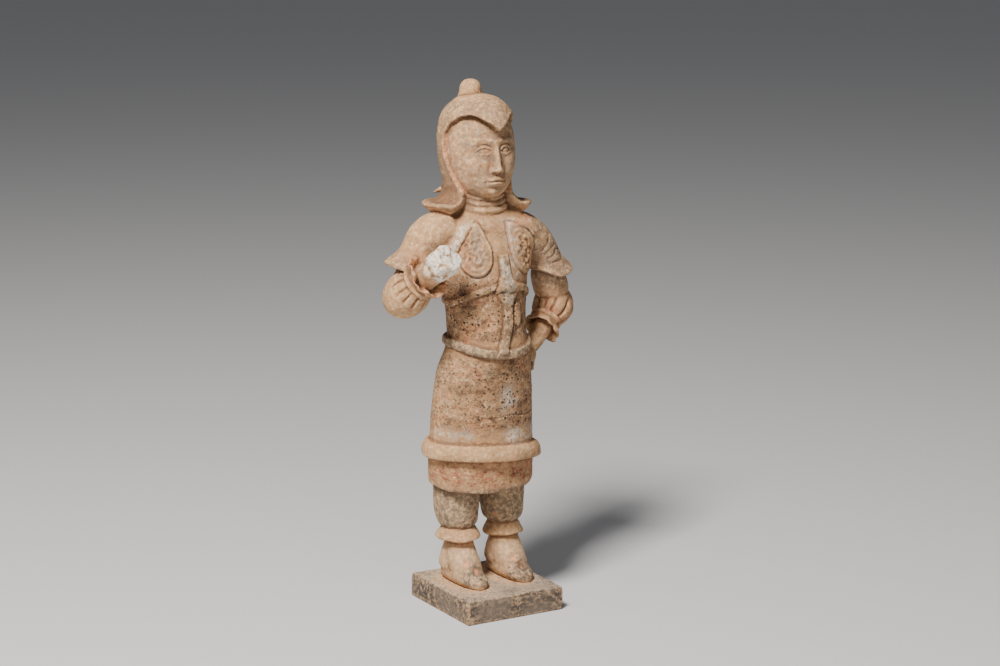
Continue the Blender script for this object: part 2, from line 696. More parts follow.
def build_right_arm():
    """The raised arm, its hand broken away."""
    upper_path = (((-100, 12, 470), 20), ((-119, 10, 440), 23), ((-129, 8, 421), 22))
    upper = limb_form("right_upper_arm", upper_path)
    sleeve = build_sleeve(
        "right_sleeve", RIGHT_ELBOW, RIGHT_END, RIGHT_PUFF, RIGHT_TIED,
        cord=(22.5, 4), frill=(10.5, 14, 4.2), pleats=12, reach=25, ragged=3.4,
    )
    axis = RIGHT_END - RIGHT_ELBOW
    stations = [(RIGHT_ELBOW + axis * share, wide) for share, wide in RIGHT_FOREARM]
    forearm = limb_form("right_forearm", stations, smoothness=4)
    points = points_of(forearm)
    along = (points - np.array(RIGHT_ELBOW)) @ np.array(axis.normalized()) / axis.length
    lumps = grain(points, 16, 5, 3) * 3 + grain(points, 5, 6, 2) * 1.2
    press(forearm, lumps * step(along, 0.45, 0.8))
    return [upper, sleeve, forearm]


def build_left_arm():
    """The arm set on the hip, with its hand."""
    upper_path = (((100, 16, 452), 21), ((117, 21, 418), 26.5), ((128, 25, 390), 25))
    upper = limb_form("left_upper_arm", upper_path)
    sleeve = build_sleeve(
        "left_sleeve", LEFT_ELBOW, LEFT_CUFF, LEFT_PUFF, LEFT_TIED,
        cord=(20, 3.6), frill=(8.5, 15, 3.8), pleats=11, reach=42, ragged=1.6,
    )
    tied = LEFT_ELBOW.lerp(LEFT_CUFF, LEFT_TIED)
    wrist = LEFT_CUFF.lerp(LEFT_HAND, 0.55)
    forearm = limb_form("left_forearm", ((tied, 15), (LEFT_CUFF, 14.5), (wrist, 12.5), (LEFT_HAND, 11.5)))
    palm = limb_form(
        "palm", ((LEFT_HAND + Vector((1, 1, 4)), 10.8), ((67, -6, 319), 10.4), ((66, -7, 311), 9)),
    )
    fingers = []
    for i in range(4):
        turn = math.radians(109 - 9.5 * i)
        knuckle = Vector((70 * math.sin(turn), 4 - 60 * math.cos(turn), 318))
        tip = Vector((73 * math.sin(turn), 6 - 60 * math.cos(turn), 295 + 1.6 * abs(i - 1.3)))
        bend = knuckle.lerp(tip, 0.5) + Vector((2.6, -0.6, 0))
        stations = ((knuckle, 4.7), (bend, 5), (tip.lerp(bend, 0.2), 4.4), (tip, 2.4))
        fingers.append(limb_form(f"finger_{i}", stations, sides=12))
    return [upper, sleeve, forearm, palm, *fingers]


forms += build_right_arm() + build_left_arm()
print("arms done,", len(forms), "forms so far")

# %% [markdown]
# The hood covers the head and neck and turns out at its lower edge in two side flaps, with a short guard
# behind the neck. It is one form, pressed in where the face shows. A raised rim runs round the opening, and
# over the brow it is pulled forward into a little peak. The guard and the knob are forms of their own.

# %% Hood
HOOD = (
    (693, 24, 6, 7), (691.5, 24, 15, 17), (688.5, 23, 26, 29), (683, 22.5, 34, 38.5),
    (675, 23, 43, 49), (663, 25.5, 49.5, 56), (645, 27.5, 52.8, 60.3), (620, 28, 53.3, 60.8),
    (598, 27.5, 51.3, 58.3), (580, 26.5, 48, 54), (567, 26, 46.5, 51.5), (558, 26, 48.5, 53.5),
    (551.5, 26, 54, 59), (547, 26, 64, 69), (544.5, 26, 77, 82), (543.5, 26, 85.5, 90.5),
    (541, 26, 86.5, 91.5), (537, 26, 82, 87), (532, 26, 74, 79), (530, 26, 60, 65),
    (529, 26, 46, 51), (518, 26, 42, 47),
)
OPENING = (
    (0, 647.5), (7, 652.5), (14, 657), (30, 664.5), (44, 667.5), (60, 665), (76, 655), (87, 640),
    (88, 620), (82, 596), (68, 574), (56, 560), (51.5, 552), (52, 545), (57, 538),
    (64, 531), (68, 522), (68, 500),
)
HOOD_MIDDLE = 26
HOOD_ARC = 51
RIM_WIDTH = 6.5
FLAP_LEAN = 2.5


def round_hood(points):
    """Each point's angle round the hood."""
    rows = np.array(HOOD)[::-1]
    middle, wide, deep = (np.interp(points[:, 2], rows[:, 0], rows[:, k]) for k in (1, 2, 3))
    return np.arctan2(points[:, 0] / wide, (middle - points[:, 1]) / deep)


def inside_opening(angle, height):
    """How far each point lies inside the face opening, in units, and below nought outside it."""
    turn = np.abs(angle) * HOOD_ARC
    edge = [(math.radians(a) * HOOD_ARC, h) for a, h in OPENING]
    nearest, _ = nearest_on(turn, height, edge)
    within = np.zeros(len(turn), bool)
    loop = [*edge, (0, OPENING[-1][1])]
    for (ax, ay), (bx, by) in zip(loop, [*loop[1:], loop[0]]):
        if ay != by:
            crosses = (ay > height) != (by > height)
            within ^= crosses & (turn < (bx - ax) * (height - ay) / (by - ay) + ax)
    return np.where(within, nearest, -nearest)


def flap_share(angle):
    """How far the hood's lower edge turns out at each angle."""
    away = np.degrees(np.abs(angle))
    side = np.clip(1 - np.abs(away - 84) / 46, 0, 1) ** 0.45
    return np.maximum(side, 0.12)


def build_hood():
    """The hood, its flaps, the opening for the face and the rim round it."""
    sections = [((0, middle, height), wide, deep) for height, middle, wide, deep in HOOD]
    hood = ring_form("hood", sections, sides=40, smoothness=4 if FINE else 3)
    points = points_of(hood)
    angle = np.arctan2(points[:, 0], HOOD_MIDDLE - points[:, 1])
    far = np.hypot(points[:, 0], points[:, 1] - HOOD_MIDDLE)
    root = 46.5 + 5 * np.abs(np.cos(angle))
    flared = (points[:, 2] < 558) & (far > root)
    share = flap_share(angle) * (1 - 0.07 * np.sin(angle))
    new_far = np.where(flared, root + (far - root) * share, far)
    points[:, 0] *= new_far / far
    points[:, 1] = HOOD_MIDDLE + (points[:, 1] - HOOD_MIDDLE) * new_far / far
    points[:, 2] -= np.where(flared, FLAP_LEAN * (1 + np.sin(angle)) * step(far, 48, 70), 0)
    points[:, 2] += 2.2 * step(far, 66, 84) * np.where(flared, 1, 0)
    set_points(hood, points)
    points = points_of(hood)
    angle, height = round_hood(points), points[:, 2]
    flap_angle = np.arctan2(points[:, 0], HOOD_MIDDLE - points[:, 1])
    angle = np.where(height < 556, flap_angle, angle)
    inside = inside_opening(angle, height)
    rim = 1.5 * step(inside, -RIM_WIDTH, -1.5) * step(height, 556, 566)
    peak = np.clip(1 - np.abs(np.degrees(angle)) / 46, 0, 1) ** 0.8 * step(height, 640, 650)
    points[:, 1] -= 8.5 * peak * np.clip((690 - height) / 34, 0, 1)
    set_points(hood, points)
    press(hood, rim)
    points = points_of(hood)
    far = np.hypot(points[:, 0], points[:, 1] - HOOD_MIDDLE)
    depth = 24 + 8 * step(-height, -572, -552) + 40 * step(-height, -556, -548)
    pulled = np.maximum(far - depth, np.minimum(far, 22))
    share = step(inside, 0.1, 1.5)
    ratio = 1 + share * (pulled / np.maximum(far, 1e-6) - 1)
    points[:, 0] *= ratio
    points[:, 1] = HOOD_MIDDLE + (points[:, 1] - HOOD_MIDDLE) * ratio
    set_points(hood, points)
    return hood


GUARD_MIDDLE = (53, 557)
GUARD_TURNS = ((-52, 7), (-45, 12.5), (-32, 15), (-11, 15.5), (11, 15.5), (32, 15), (45, 12.5), (52, 7))


def build_neck_guard():
    """The short guard behind the neck: a limb bent round the hood, pressed flat and sloped down."""
    far, level = GUARD_MIDDLE
    stations = []
    for turn, radius in GUARD_TURNS:
        turn = math.radians(turn)
        stations.append(((far * math.sin(turn), HOOD_MIDDLE + far * math.cos(turn), level), radius))
    guard = limb_form("neck_guard", stations, sides=20, smoothness=3)
    points = points_of(guard)
    turn = np.arctan2(points[:, 0], points[:, 1] - HOOD_MIDDLE)
    out = np.hypot(points[:, 0], points[:, 1] - HOOD_MIDDLE) - far
    thick = 0.30 - 0.011 * out
    points[:, 2] = level + (points[:, 2] - level) * thick - 0.45 * out + 0.8 * np.sin(turn * 4)
    set_points(guard, points)
    return guard


def build_knob():
    """The knob on the crown, on a low foot."""
    profile = ((683, 19), (689, 17.6), (693, 16), (700, 15.6), (706, 13.8), (710, 10), (712, 4))
    sections = [((-3, 38, height), radius, radius) for height, radius in profile]
    return ring_form("knob", sections, sides=20, smoothness=3)


forms += [build_hood(), build_neck_guard(), build_knob()]
print("hood:", len(forms[-3].data.vertices), "points")

# %% [markdown]
# The face is our own: calm, with its features on the halves and shares that drawing books teach. The eyes
# lie halfway up the head, the nose ends halfway from brow line to chin, and the lips are closed.
# It is pressed out of the head form in layers, large masses first, then lids, nostrils and lips, as one
# would with thumb and tool.

# %% Head and face
HEAD = (
    (546, 22, 12, 18), (549.5, 19, 22, 29), (555, 16, 29, 36), (565, 14, 37.5, 41),
    (578, 13.5, 44, 43), (598, 14.5, 49, 44.5), (620, 15.5, 50, 44.5), (642, 17.5, 48.3, 43.5),
    (660, 20, 41.5, 40), (676, 24, 29, 28), (683, 24, 12, 12),
)
CHIN = 552
CROWN = 684
FACE_TALL = CROWN - CHIN


def face_height(share):
    """A height on the face, as a share of the way from chin to crown."""
    return CHIN + FACE_TALL * share


EYE_LINE = face_height(0.50)
BROW_LINE = face_height(0.585)
NOSE_END = face_height(0.285)
MOUTH_LINE = face_height(0.185)
EYE_APART = 17
FACE_ROOT = 16
FACE_DEEP = 30


def blob(x, z, at_x, at_z, wide, tall):
    """A soft oval swelling of height one."""
    return np.exp(-(((x - at_x) / wide) ** 2) - ((z - at_z) / tall) ** 2)


def face_masses(x, z):
    """Forehead, brow, nose, cheeks, muzzle and chin."""
    bridge = np.clip((BROW_LINE - 2 - z) / (BROW_LINE - 2 - NOSE_END), 0, 1)
    end = step(z, NOSE_END - 3, NOSE_END + 2)
    start = step(-z, -BROW_LINE - 8, -BROW_LINE + 8)
    push = (3.4 + 10.2 * bridge**1.3) * np.exp(-((x / (4.8 + 2.6 * bridge**2)) ** 2)) * end * start
    push += 3.2 * blob(x, z, 8.2, NOSE_END + 2.8, 3.6, 3.8)
    push += 2.2 * blob(x, z, 16, BROW_LINE + 1.5, 14, 4.5) + 1.5 * blob(x, z, 0, BROW_LINE + 18, 26, 14)
    push -= 3 * blob(x, z, 18, EYE_LINE + 0.5, 14, 8)
    push += 3.6 * blob(x, z, 27, NOSE_END + 9, 12, 13)
    push += 3.6 * blob(x, z, 0, MOUTH_LINE, 16, 10)
    push += 4.4 * blob(x, z, 0, CHIN + 7.5, 12, 6) - 2 * blob(x, z, 0, MOUTH_LINE - 8.8, 11, 2.4)
    return push


def face_details(x, z):
    """Eyeballs, lids, nostrils, the groove under the nose and the closed lips."""
    eye_x, eye_z = x - EYE_APART, z - EYE_LINE
    across = np.clip(1 - (eye_x / 10) ** 2, 0, 1)
    upper, lower = 4.8 * across, -3.6 * across
    push = 4 * blob(x, z, EYE_APART, EYE_LINE, 8.6, 5.6)
    open_eye = step(upper - eye_z, -0.2, 0.8) * step(eye_z - lower, -0.2, 0.8) * step(across, 0, 0.12)
    push -= 1.6 * open_eye
    push += 1.5 * open_eye * blob(x, z, EYE_APART, EYE_LINE + 0.4, 5.5, 3.6)
    rims = step(across, 0, 0.25)
    push += (1.5 * hill(eye_z - upper - 1.2, 1.3) + 1 * hill(eye_z - lower + 1.2, 1.2)) * rims
    push -= 1.1 * hill(eye_z - upper - 4.4, 1.2) * step(across, 0, 0.4)
    brow_arch = BROW_LINE + 2 + 3 * np.exp(-(((x - 19) / 11) ** 2))
    push += 1.6 * hill(z - brow_arch, 2.2) * step(x, 4, 8) * step(-x, -33, -26)
    nostril = 2.4 * blob(x, z, 4.6, NOSE_END - 0.8, 2.2, 1.6)
    push -= nostril + 1.2 * blob(x, z, 12.2, NOSE_END + 3.2, 1.5, 4.2)
    philtrum = step(z, MOUTH_LINE + 3.8, MOUTH_LINE + 5.8) * step(-z, -NOSE_END + 2, -NOSE_END + 4)
    push -= 1.1 * np.exp(-((x / 1.9) ** 2)) * philtrum
    corner = np.clip(1 - (x / 15.5) ** 2, 0, 1)
    line = MOUTH_LINE + 0.6 * np.cos(x / 3.6)
    upper_lip = 3 * corner * hill(z - line - 3.1 - 0.5 * np.cos(x / 2.4), 2.3)
    push += upper_lip + 3.2 * corner * hill(z - line + 3.5, 2.6)
    parting = 2.6 * np.sqrt(corner) * hill(z - line, 1.05)
    push -= parting + 1.1 * blob(x, z, 15.5, MOUTH_LINE + 0.2, 1.9, 1.9)
    return push


def build_head():
    """The head inside the hood, with its face."""
    sections = [((0, middle, height), wide, deep) for height, middle, wide, deep in HEAD]
    head = ring_form("head", sections, sides=40, smoothness=4 if FINE else 3)
    points = points_of(head)
    facing = np.clip((FACE_ROOT - points[:, 1]) / FACE_DEEP, 0, 1)
    x, z = np.abs(points[:, 0]), points[:, 2]
    points[:, 1] -= face_masses(x, z) * facing
    set_points(head, points)
    return head


def press_face(body):
    """Presses eyes, nostrils and lips into the skin, once the forms are one."""
    points = points_of(body)
    x, y, z = points.T
    open_face = (y < 5) & (z > CHIN - 4) & (z < CROWN) & (np.abs(x) < 46)
    near = points[open_face]
    facing = np.clip((FACE_ROOT - near[:, 1]) / FACE_DEEP, 0, 1)
    clear = step(inside_opening(round_hood(near), near[:, 2]), 1, 4)
    points[open_face, 1] -= face_details(np.abs(near[:, 0]), near[:, 2]) * step(facing, 0.25, 0.7) * clear
    set_points(body, points)


def smooth_shoes(body, rounds):
    """Rubs ankle and shoe into one slope, below the ankle rings only."""
    height = points_of(body)[:, 2]
    group = body.vertex_groups.new(name="shoes")
    group.add([int(i) for i in np.flatnonzero((height < 57) & (height > 3))], 1, "REPLACE")
    apply_to(body, "SMOOTH", iterations=rounds, vertex_group="shoes")
    body.vertex_groups.clear()


SHOE_SCARS = (
    (-41, -19, 32, 8.6, 5.6), (-33, -31, 23, 5.6, 3.8),
    (34, -20, 31.5, 9, 5.6), (39.2, -32, 22.5, 5.4, 3.6),
)


def from_scars(points):
    """How far inside a shoe's scars each point lies, as a share, and how far up the scar it is."""
    inside, above = np.full(len(points), -9), np.zeros(len(points))
    for x, y, z, wide, tall in SHOE_SCARS:
        along = ((z - points[:, 2]) - (y - points[:, 1])) * 0.7
        depth = ((y - points[:, 1]) + (z - points[:, 2])) * 0.7
        share = 1 - np.sqrt(((points[:, 0] - x) / wide) ** 2 + (along / tall) ** 2 + (depth / 9) ** 2)
        above = np.where(share > inside, -along / tall, above)
        inside = np.maximum(inside, share)
    return inside, above


def press_scars(body):
    """Presses the oval scars of lost trimmings into the shoes."""
    inside, above = from_scars(points_of(body))
    press(body, -1.2 * step(inside, 0, 0.3) + 0.9 * hill(inside + 0.12, 0.12) * step(above, 0, 0.6))


forms.append(build_head())
print("head:", len(forms[-1].data.vertices), "points")

# %% [markdown]
# Now the forms become one body of clay. They are joined, and a voxel remesh gives them a single skin, as a
# potter smears the joints over. A little smoothing rounds the edges the way slip and burial do, and the
# clay then gets what four simple moves give it: a slow waviness from the hands, a fine gritty skin, small
# pits where grains fell out, and a few larger chips.

# %% One skin of clay
VOXEL = 0.00125 if FINE else 0.0024
MOST_TRIANGLES = {"figure": 190_000, "plinth": 120_000}
SHOE_ROUNDS = 60 if FINE else 15


def one_skin(parts, name, voxel):
    """Joins forms into one closed skin."""
    body = join_forms(parts)
    body.name = name
    apply_to(body, "REMESH", mode="VOXEL", voxel_size=voxel)
    apply_to(body, "SMOOTH", iterations=4 if FINE else 1)
    return body


figure = one_skin(forms, "clay_figure", VOXEL)
print("one skin:", len(figure.data.vertices), "points")

# %% Hand-worked surface
def nearest_specks(points, size, seed):
    """The distance from each point to the nearest of many scattered specks, and a number for that speck."""
    shift = Vector((seed * 3.7, seed * 11.1, seed * 7.3))
    far, mark = np.empty(len(points)), np.empty(len(points))
    for i, p in enumerate(points):
        distances, places = noise.voronoi(Vector(p) / size + shift)
        far[i] = distances[0]
        mark[i] = noise.cell(places[0] * 13.7)
    return far * size, mark


def press_seam(body):
    """Presses the shallow seam across the skirt's front and roughens the band under the hem roll."""
    points = points_of(body)
    x, _, z = points.T
    angle, _ = round_trunk(points)
    line = 247 + 1.4 * np.sin(x / 9) - 0.03 * x
    seam = hill(z - line, 1.1) * step(x, -34, -20) * step(-x, -74, -62) * (np.cos(angle) > 0)
    band = step(z, 140, 146) * step(-z, -182, -176) * (np.hypot(x, points[:, 1] - 16) > 52)
    grit = np.zeros(len(points))
    rough = band > 0
    grit[rough] = grain(points[rough], 4.2, 37, 3)
    press(body, -0.9 * seam + 0.7 * grit * band)


def work_surface(body, still=0):
    """Hand waviness, grit, small pits and chips. Points below still, in units, keep their place."""
    points = points_of(body)
    lift = 0.55 * grain(points, 26, 31, 2) + 0.30 * grain(points, 8, 32, 2)
    lift += 0.16 * grain(points, 2.6, 33, 2)
    far, mark = nearest_specks(points, 9, 34)
    lift -= 0.9 * step(-far, -1.9, -0.5) * (mark > 0.62)
    far, mark = nearest_specks(points, 34, 35)
    lift -= 1.3 * step(-far, -4.2, -1.8) * (mark > 0.60)
    lift += 0.7 * step(-far, -3.6, -1) * (mark < 0.12)
    press(body, lift * step(points[:, 2], still, still + 1.5))


smooth_shoes(figure, SHOE_ROUNDS)
press_chest(figure)
press_scales(figure)
press_face(figure)
press_scars(figure)
press_seam(figure)
work_surface(figure, still=1)
print("surface worked")

# %% [markdown]
# The skin is far denser than it needs to be on the plain parts. A decimation spends the triangles where
# the surface bends, so pleats, lips and bands keep theirs.

# %% Thin the skin
def thin(body, most):
    """Keeps a piece under a number of triangles."""
    triangles = sum(len(face.vertices) - 2 for face in body.data.polygons)
    if triangles > most:
        apply_to(body, "DECIMATE", ratio=most / triangles)
    for face in body.data.polygons:
        face.use_smooth = True
    return sum(len(face.vertices) - 2 for face in body.data.polygons)


print("figure:", thin(figure, MOST_TRIANGLES["figure"]), "triangles")

# %% [markdown]
# The slab was thrown down from a block of clay and cut square with a wire. Its top is nearly level, its
# upper edges are worn and chipped, and the figure's weight pressed a little clay up around the feet.

# %% Plinth
PLINTH_EDGE = 0.0025
PLINTH_VOXEL = 0.0012 if FINE else 0.0024


def build_plinth():
    """The slab: a cube at its size, its edges bevelled, divided, and then worn."""
    low, high = Vector(plinth_low), Vector(plinth_high)
    slab = add_shape("clay_plinth", bpy.ops.mesh.primitive_cube_add, size=1, location=(low + high) / 2)
    slab.scale = high - low
    bpy.ops.object.transform_apply(location=True, rotation=True, scale=True)
    apply_to(slab, "BEVEL", width=PLINTH_EDGE, segments=3)
    apply_to(slab, "REMESH", mode="VOXEL", voxel_size=PLINTH_VOXEL)
    apply_to(slab, "SMOOTH", iterations=2)
    return slab


def wear_plinth(slab):
    """Waviness, worn edges with chips, and pits, while the underside stays level."""
    points = points_of(slab)
    top = (plinth_high[2] - SOLE) / UNIT
    bottom = (plinth_low[2] - SOLE) / UNIT
    half_wide = (plinth_high[0] - plinth_low[0]) / 2 / UNIT
    half_deep = (plinth_high[1] - plinth_low[1]) / 2 / UNIT
    to_side = np.minimum(half_wide - np.abs(points[:, 0]), half_deep - np.abs(points[:, 1]))
    to_top = top - points[:, 2]
    to_corner = np.hypot(np.maximum(to_side, 0), np.maximum(to_top, 0))
    near_edge = step(-to_corner, -9, -1)
    lift = 0.45 * grain(points, 30, 41, 2) + 0.35 * grain(points, 9, 42, 3)
    lift += 0.16 * grain(points, 2.8, 43, 2)
    lift -= near_edge * (1 + 1.6 * np.maximum(0, grain(points, 11, 44, 3)))
    far, mark = nearest_specks(points, 8, 45)
    lift -= 0.9 * step(-far, -2.2, -0.6) * (mark > 0.5)
    far, mark = nearest_specks(points, 26, 46)
    lift -= 2 * near_edge * step(-far, -7, -3) * (mark > 0.4)
    keep = step(points[:, 2] - bottom, 0.8, 3)
    press(slab, np.minimum(lift, 0.3) * keep)


plinth = build_plinth()
wear_plinth(plinth)
print("plinth:", thin(plinth, MOST_TRIANGLES["plinth"]), "triangles")

# %% [markdown]
# Colour follows the making and the years in the ground. The clay fired buff and tan. A pale grey slip was
# brushed on the belt, the strap and the trousers, and it has run into dark streaks. Soot and earth sit in
# the hollows, lime has crusted white on some parts, and broken edges show the clay's pink-orange inside.
# Where each of these lies is worked out once per point and stored on the mesh, and the material's own
# noise then breaks the borders up.

# %% Where the finishes lie
def store_mark(body, name, red, green, blue):
    """Stores three shares from nought to one on the mesh's points."""
    layer = body.data.attributes.new(name, "FLOAT_COLOR", "POINT")
    rows = np.ones((len(body.data.vertices), 4))
    for i, share in enumerate((red, green, blue)):
        rows[:, i] = np.clip(share, 0, 1)
    layer.data.foreach_set("color", rows.ravel())


def hollows_of(body, rounds):
    """How deep each point lies below the smoothed surface, in units: over nought in hollows."""
    points = points_of(body)
    edges = np.empty(len(body.data.edges) * 2, dtype=np.int64)
    body.data.edges.foreach_get("vertices", edges)
    one, other = edges[0::2], edges[1::2]
    count = np.bincount(edges, minlength=len(points))[:, None]
    smooth = points.copy()
    for _ in range(rounds):
        total = np.zeros_like(smooth)
        for k in range(3):
            ahead = np.bincount(one, smooth[other, k], len(points))
            total[:, k] = ahead + np.bincount(other, smooth[one, k], len(points))
        smooth = total / count
    return ((smooth - points) * normals_of(body)).sum(axis=1)


def on_front(points):
    """Whether each point lies on the front half of the trunk."""
    angle, _ = round_trunk(points)
    return (np.cos(angle) > 0) & (np.abs(points[:, 0]) < 82)


def on_face(points):
    """One inside the hood's opening, nought elsewhere."""
    _, y, z = points.T
    return step(inside_opening(round_hood(points), z), 2, 4) * (z > 546) * (y < 10)


def on_strap(points):
    """One on the strap, nought beside it."""
    angle, wide = round_trunk(points)
    z = points[:, 2]
    across = np.abs(beside_strap(angle, wide, z))
    return on_front(points) * step(-across, -9.5, -6.5) * step(z, 336, 342) * step(-z, -476, -470)


def on_plates(points):
    """A share round the two breast plates."""
    x, _, z = points.T
    sides = 0.30 * hill(x + 33, 20) + 0.34 * hill(x - 24, 18)
    return on_front(points) * (z > 440) * (z < 524) * sides


def on_right_arm(points):
    """How far each point lies along the right forearm, and how far off its middle."""
    ahead = np.array((RIGHT_END - RIGHT_ELBOW).normalized())
    from_elbow = points - np.array(RIGHT_ELBOW)
    along = from_elbow @ ahead
    return along, np.linalg.norm(from_elbow - np.outer(along, ahead), axis=1)


print("places named")

# %% Slip and lime
def find_slip(points):
    """Grey slip, on belt, strap and trousers."""
    x, _, z = points.T
    angle, _ = round_trunk(points)
    belt = step(-np.abs(from_band(points, angle, BELT)), -8, -6) * (np.abs(x) < 66)
    legs = step(-z, -146, -140) * step(z, 79, 83)
    return np.maximum(np.maximum(belt, 0.8 * on_strap(points)), legs)


def find_lime(points):
    """Lime, thick on the stump, in patches on chest and skirt, and a thin film on the face."""
    x, _, z = points.T
    front = on_front(points)
    along, off_arm = on_right_arm(points)
    stump = step(along, 56, 82) * step(-off_arm, -30, -27)
    lapel = 0.7 * front * (x < -20) * step(-z, -524, -512) * step(z, 470, 484)
    lapel *= hill(beside_line(x, z, CAPE_LINES[0]) - 8, 7)
    skirt = front * 0.56 * hill(z - 216, 14) * step(x, -14, 16)
    skirt += front * 0.5 * hill(z - 272, 30) * hill(x - 10, 20)
    skirt += front * 0.36 * hill(z - 222, 14) * step(-x, 30, 44)
    film = 0.22 * on_face(points) + 0.14 * front * step(z, 410, 425) * step(-z, -530, -520)
    strap = 0.40 * on_strap(points) * step(z, 400, 412)
    return np.maximum.reduce([stump, lapel, on_plates(points), skirt, strap, film])


print("slip and lime can be found")

# %% Breaks, stains and soil
def find_fresh(points, hollow):
    """Fresh clay, on the torn right frill, the rim of the hood's opening and the scars of the shoes."""
    _, y, z = points.T
    along, off_arm = on_right_arm(points)
    frill = step(along, 46, 50) * step(-along, -62, -56)
    frill *= step(off_arm, 22, 25) * step(-off_arm, -40, -35) * step(-hollow, -0.1, 0.4)
    inside = inside_opening(round_hood(points), z)
    rim = 0.9 * hill(inside - 1.6, 2.8) * step(-z, -646, -630) * step(z, 552, 560) * (y < 30)
    scars = step(from_scars(points)[0], 0.05, 0.3)
    return np.maximum.reduce([frill, rim, scars])


def find_stains(points):
    """Dark stains, all over the left cape and in smudges on the right one."""
    x, y, z = points.T
    left = step(x, 60, 74) * step(z, 405, 425) * step(-z, -536, -528)
    edge = hill(beside_line(x, z, CAPE_LINES[1]) + 1, 3.4) * (x > 34) * (z > 462) * (z < 512) * (y < 10)
    smudges = 0.8 * hill(np.hypot(x + 94, z - 486), 11) + 0.7 * hill(np.hypot(x + 136, z - 468), 16)
    return np.maximum.reduce([left, edge, smudges * (y < 30)])


def find_soil(points, hooded):
    """Soil, most on belly and skirt, less on face, plates, chest, hood and left sleeve."""
    x, _, z = points.T
    worn = step(z, 206, 240) * step(-z, -346, -326) * (0.78 + 0.22 * step(x, -40, 30))
    belly = step(z, 352, 362) * step(-z, -466, -418) * (np.abs(x) < 78)
    belly *= 0.75 + 0.35 * step(-x, -10, 20)
    soil = 0.16 + 0.80 * worn + 0.95 * belly + 0.4 * hill(z - 160, 24)
    soil += 0.22 * hooded + 0.4 * on_plates(points) + 0.45 * on_face(points)
    soil += 0.25 * on_front(points) * step(z, 440, 452) * step(-z, -535, -520)
    soil += 0.25 * (x > 66) * step(z, 340, 350)
    soil += 0.35 * step(-x, -60, -76) * step(z, 380, 400) * step(-z, -460, -440) * (np.abs(x) < 60)
    return soil


def mark_figure(body):
    """Stores where each finish lies on the figure."""
    points = points_of(body)
    x, y, z = points.T
    hollow, broad = hollows_of(body, 14), hollows_of(body, 90)
    hooded = step(z, 534, 538) * step(np.hypot(x, y - HOOD_MIDDLE), 30, 34) * (1 - on_face(points))
    left_tie = hill(np.hypot(x - 108, z - 368), 26)
    red_dots = np.maximum(left_tie, 0.8 * hill(z - 160, 20) * (np.hypot(x, y) > 40))
    shoes = step(-z, -56, -50)
    toes = shoes * step(-y, 14, 34) * step(z, 1, 4)
    store_mark(body, "wear", hollow * 1.6, -hollow * 1.5, broad * 0.45)
    store_mark(body, "finish", find_slip(points), find_lime(points), hooded)
    store_mark(body, "marks", find_fresh(points, hollow), find_stains(points), red_dots)
    store_mark(body, "soil", find_soil(points, hooded), shoes, toes)


def mark_plinth(body):
    """Hollows and edges, the top, and the clay smeared and dusted round the shoes."""
    points = points_of(body)
    x, y, z = points.T
    hollow = hollows_of(body, 12)
    near_shoe = np.full(len(points), 9)
    for side in (-1, 1):
        near_shoe = np.minimum(near_shoe, np.hypot((x - side * STANCE + 2) / 25, (y - 2) / 50))
    top = step(z, -3, -1)
    smear = step(-near_shoe, -1.34, -0.98) * top
    dust = step(-near_shoe, -2.3, -1.2) * top * (0.45 + 0.55 * step(-x, -50, 30))
    store_mark(body, "wear", hollow * 1.6, -hollow * 1.5, top)
    store_mark(body, "finish", smear, dust, step(-x, -20, 60))


mark_figure(figure)
mark_plinth(plinth)
print("finishes placed")

# %% [markdown]
# A material like this is a stack of thin coats, each laid where a mask says and broken up by noise. The
# small class below keeps the node tree short to write: one call for noise, one for a soft threshold, one
# for a coat of colour, and one for a bump.

# %% Helpers for materials
CLAY_SHINE = 0.28


